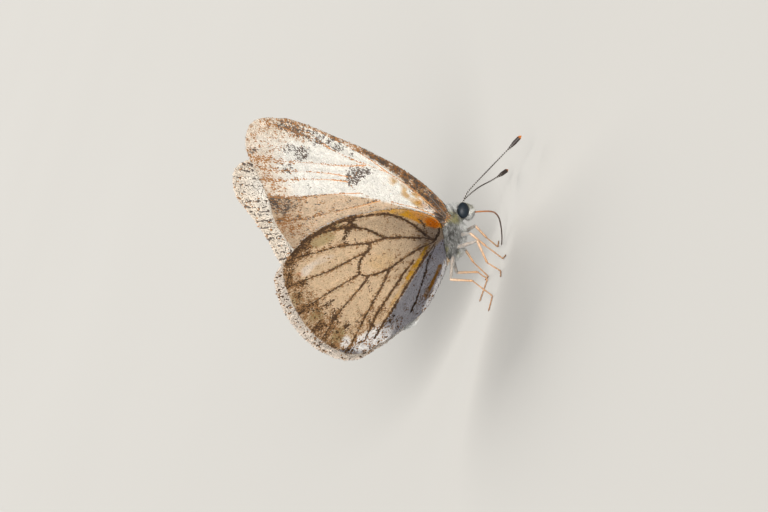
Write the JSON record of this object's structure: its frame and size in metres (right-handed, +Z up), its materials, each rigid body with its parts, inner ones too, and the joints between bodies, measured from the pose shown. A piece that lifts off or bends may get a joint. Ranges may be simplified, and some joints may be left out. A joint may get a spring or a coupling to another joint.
{
  "type": "brown-veined white butterfly",
  "caption": "Life-size still model of a brown-veined white butterfly standing with its wings closed over its back and its proboscis uncoiled to feed.",
  "frame": {"origin": "centre of the model's box, on the surface that the feet stand on", "axes": "+Z up, +X the way the head points, +Y to the animal's left"},
  "size_m": [0.0296, 0.0098, 0.0312],
  "materials": {
    "hair": "fine grey-white hair with a yellowish tint",
    "eye": "dark blue-grey compound eye, softly glossy",
    "antenna": "near-black shaft and club with an orange tip",
    "proboscis": "dark brown, orange at its base",
    "leg": "pale orange-brown, dusted with white scales",
    "fore_wing": "white scales with brown-dusted edges and veins",
    "hind_wing": "tan scales with dark brown veins and yellow patches"
  },
  "bodies": {
    "root": {"head": "hair", "thorax": "hair", "abdomen": "hair", "palp_left": "hair", "palp_right": "hair", "eye_left": "eye", "eye_right": "eye", "antenna_left": "antenna", "antenna_right": "antenna", "proboscis": "proboscis", "leg_fore_left": "leg", "leg_fore_right": "leg", "leg_mid_left": "leg", "leg_mid_right": "leg", "leg_hind_left": "leg", "leg_hind_right": "leg", "wing_fore_left": "fore_wing", "wing_fore_right": "fore_wing", "wing_hind_left": "hind_wing", "wing_hind_right": "hind_wing"}
  },
  "joints": []
}
